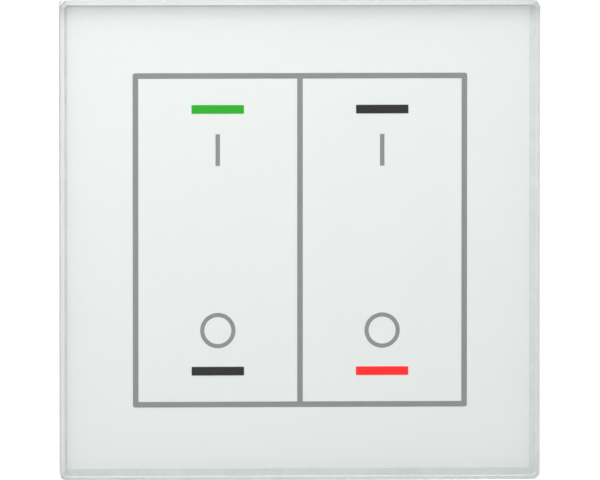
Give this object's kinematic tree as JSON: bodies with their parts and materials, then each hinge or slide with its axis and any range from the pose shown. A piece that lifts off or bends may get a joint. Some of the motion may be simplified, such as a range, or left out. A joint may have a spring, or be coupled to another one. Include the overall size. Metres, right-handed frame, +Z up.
{
  "type": "touch light switch",
  "caption": "Wall plate of clear glass printed white behind, with touch fields and lit windows, over a module with rising-cage terminals in a wall box.",
  "frame": {"origin": "middle of the wall screw pattern and of the square plate, on the wall's surface, where the steel bracket's back lies", "axes": "+X to the right of someone facing the switch, +Y into the wall, +Z up; the glass faces -Y"},
  "size_m": [0.086, 0.039, 0.086],
  "materials": {
    "clear_glass": "polished",
    "white_enamel": "glossy behind glass",
    "grey_ink": "matte ink",
    "green_window": "lit film",
    "red_window": "lit film",
    "dark_window": "unlit film",
    "foam_tape": "foam",
    "white_plastic": "fine texture",
    "zinc_steel": "zinc plated",
    "spring_steel": "satin",
    "screw_steel": "zinc plated",
    "cage_steel": "yellow zinc",
    "diffuser": "milky",
    "green_lamp": "clear resin",
    "red_lamp": "clear resin",
    "board_green": "solder mask",
    "copper": "gold flash",
    "chip_black": "moulded",
    "black_plastic": "moulded",
    "housing_plastic": "fine texture",
    "relay_case": "moulded",
    "ferrite": "ground ferrite",
    "yellow_tape": "polyester tape",
    "can_sleeve": "shrunk sleeve",
    "film_case": "moulded",
    "blue_coat": "dipped",
    "fuse_ceramic": "glazed tube",
    "brass": "bright"
  },
  "bodies": {
    "base": {"mounting_bracket": "zinc_steel", "panel_clips": "spring_steel", "sensor_cover": "white_plastic", "module_screws": "screw_steel", "light_guides": "diffuser", "green_leds": "green_lamp", "red_leds": "red_lamp", "touch_board": "board_green", "touch_electrodes": "copper", "touch_controller": "chip_black", "header_socket": "black_plastic", "header_pins": "black_plastic", "base_housing": "housing_plastic", "power_board": "board_green", "board_screws": "screw_steel", "relay_left": "relay_case", "relay_right": "relay_case", "transformer_core": "ferrite", "transformer_bobbin": "black_plastic", "transformer_winding": "yellow_tape", "electrolytic_capacitor": "can_sleeve", "smoothing_capacitor": "can_sleeve", "film_capacitor": "film_case", "varistor": "blue_coat", "fuse": "fuse_ceramic", "bridge_rectifier": "chip_black", "power_controller": "chip_black", "contact_bars": "brass"},
    "front_panel": {"glass_plate": "clear_glass", "back_print": "white_enamel", "outline_print": "grey_ink", "window_left_on": "green_window", "window_left_off": "dark_window", "window_right_on": "dark_window", "window_right_off": "red_window", "adhesive_frame": "foam_tape", "panel_carrier": "white_plastic"},
    "terminal_screw_live": {"terminal_screw_live": "screw_steel"},
    "terminal_cage_live": {"terminal_cage_live": "cage_steel"},
    "terminal_screw_neutral": {"terminal_screw_neutral": "screw_steel"},
    "terminal_cage_neutral": {"terminal_cage_neutral": "cage_steel"},
    "terminal_screw_load_1": {"terminal_screw_load_1": "screw_steel"},
    "terminal_cage_load_1": {"terminal_cage_load_1": "cage_steel"},
    "terminal_screw_load_2": {"terminal_screw_load_2": "screw_steel"},
    "terminal_cage_load_2": {"terminal_cage_load_2": "cage_steel"}
  },
  "joints": [
    {"name": "panel_pull", "type": "slide", "parent": "base", "child": "front_panel", "axis": [0, -1, 0], "range_m": [0, 0.02]},
    {"name": "turn_live", "type": "hinge", "parent": "base", "child": "terminal_screw_live", "pos_m": [-0.015, 0.02, -0.0179], "axis": [0, -1, 0], "range_deg": [0, 1985]},
    {"name": "rise_live", "type": "slide", "parent": "base", "child": "terminal_cage_live", "axis": [0, 1, 0], "range_m": [0, 0.0033]},
    {"name": "turn_neutral", "type": "hinge", "parent": "base", "child": "terminal_screw_neutral", "pos_m": [-0.005, 0.02, -0.0179], "axis": [0, -1, 0], "range_deg": [0, 1985]},
    {"name": "rise_neutral", "type": "slide", "parent": "base", "child": "terminal_cage_neutral", "axis": [0, 1, 0], "range_m": [0, 0.0033]},
    {"name": "turn_load_1", "type": "hinge", "parent": "base", "child": "terminal_screw_load_1", "pos_m": [0.005, 0.02, -0.0179], "axis": [0, -1, 0], "range_deg": [0, 1985]},
    {"name": "rise_load_1", "type": "slide", "parent": "base", "child": "terminal_cage_load_1", "axis": [0, 1, 0], "range_m": [0, 0.0033]},
    {"name": "turn_load_2", "type": "hinge", "parent": "base", "child": "terminal_screw_load_2", "pos_m": [0.015, 0.02, -0.0179], "axis": [0, -1, 0], "range_deg": [0, 1985]},
    {"name": "rise_load_2", "type": "slide", "parent": "base", "child": "terminal_cage_load_2", "axis": [0, 1, 0], "range_m": [0, 0.0033]}
  ],
  "couplings": [
    {"joint": "turn_live", "follows": "rise_live", "rad_per_m": 10472},
    {"joint": "turn_neutral", "follows": "rise_neutral", "rad_per_m": 10472},
    {"joint": "turn_load_1", "follows": "rise_load_1", "rad_per_m": 10472},
    {"joint": "turn_load_2", "follows": "rise_load_2", "rad_per_m": 10472}
  ]
}
